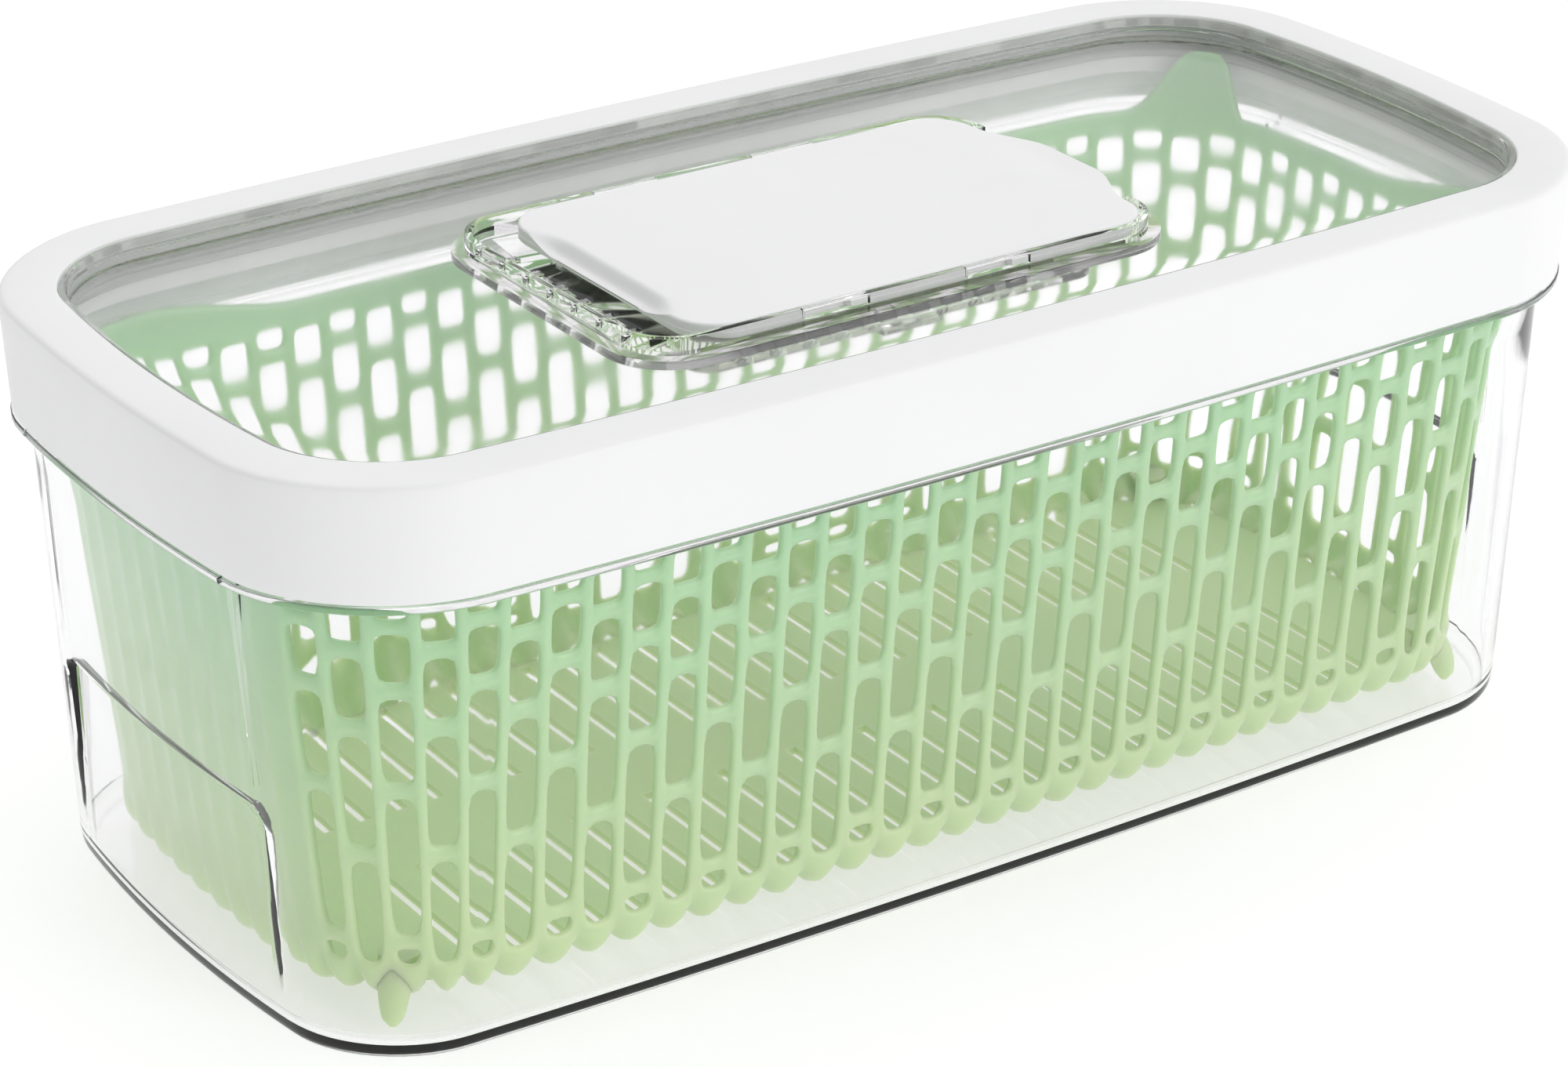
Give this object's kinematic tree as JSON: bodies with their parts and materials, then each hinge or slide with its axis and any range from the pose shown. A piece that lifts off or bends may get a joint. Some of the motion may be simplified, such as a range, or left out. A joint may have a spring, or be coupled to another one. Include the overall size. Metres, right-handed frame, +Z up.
{
  "type": "lidded produce storage box",
  "caption": "Clear rounded food box with a slotted green basket standing in it and a white-framed clear lid with a sliding vent over a filter pouch",
  "frame": {"origin": "middle of the flat base, on the surface that the box stands on", "axes": "+X along the long side towards the end where the vent slide rests open, -Y towards the long side nearest the viewer, +Z up through the lid"},
  "size_m": [0.356, 0.172, 0.1361],
  "materials": {
    "clear_tub": "clear moulded, glossy",
    "green_basket": "translucent pale green, satin",
    "white_plastic": "satin white",
    "clear_lid": "clear moulded, glossy",
    "soft_seal": "milky soft silicone",
    "pouch_fabric": "white non-woven"
  },
  "bodies": {
    "tub": {"container_base": "clear_tub", "container_wall": "clear_tub", "container_neck": "clear_tub"},
    "basket": {"basket_floor": "green_basket", "basket_wall": "green_basket"},
    "lid": {"lid_frame": "white_plastic", "lid_skirt": "white_plastic", "lid_window": "clear_lid", "lid_plug": "clear_lid", "lid_seal": "soft_seal", "vent_tray": "clear_lid", "filter_box": "clear_lid", "filter_lugs": "clear_lid"},
    "slide": {"vent_slide": "white_plastic"},
    "door": {"filter_door": "clear_lid", "filter_pouch": "pouch_fabric"}
  },
  "joints": [
    {"name": "basket_lift", "type": "slide", "parent": "tub", "child": "basket", "axis": [0, 0, 1], "range_m": [0, 0.14]},
    {"name": "lid_lift", "type": "slide", "parent": "basket", "child": "lid", "axis": [0, 0, 1], "range_m": [0, 0.06]},
    {"name": "vent_slide", "type": "slide", "parent": "lid", "child": "slide", "axis": [-1, 0, 0], "range_m": [0, 0.0115]},
    {"name": "filter_door_hinge", "type": "hinge", "parent": "lid", "child": "door", "pos_m": [0.002, 0.0356, 0.1198], "axis": [1, 0, 0], "range_deg": [0, 90]}
  ]
}
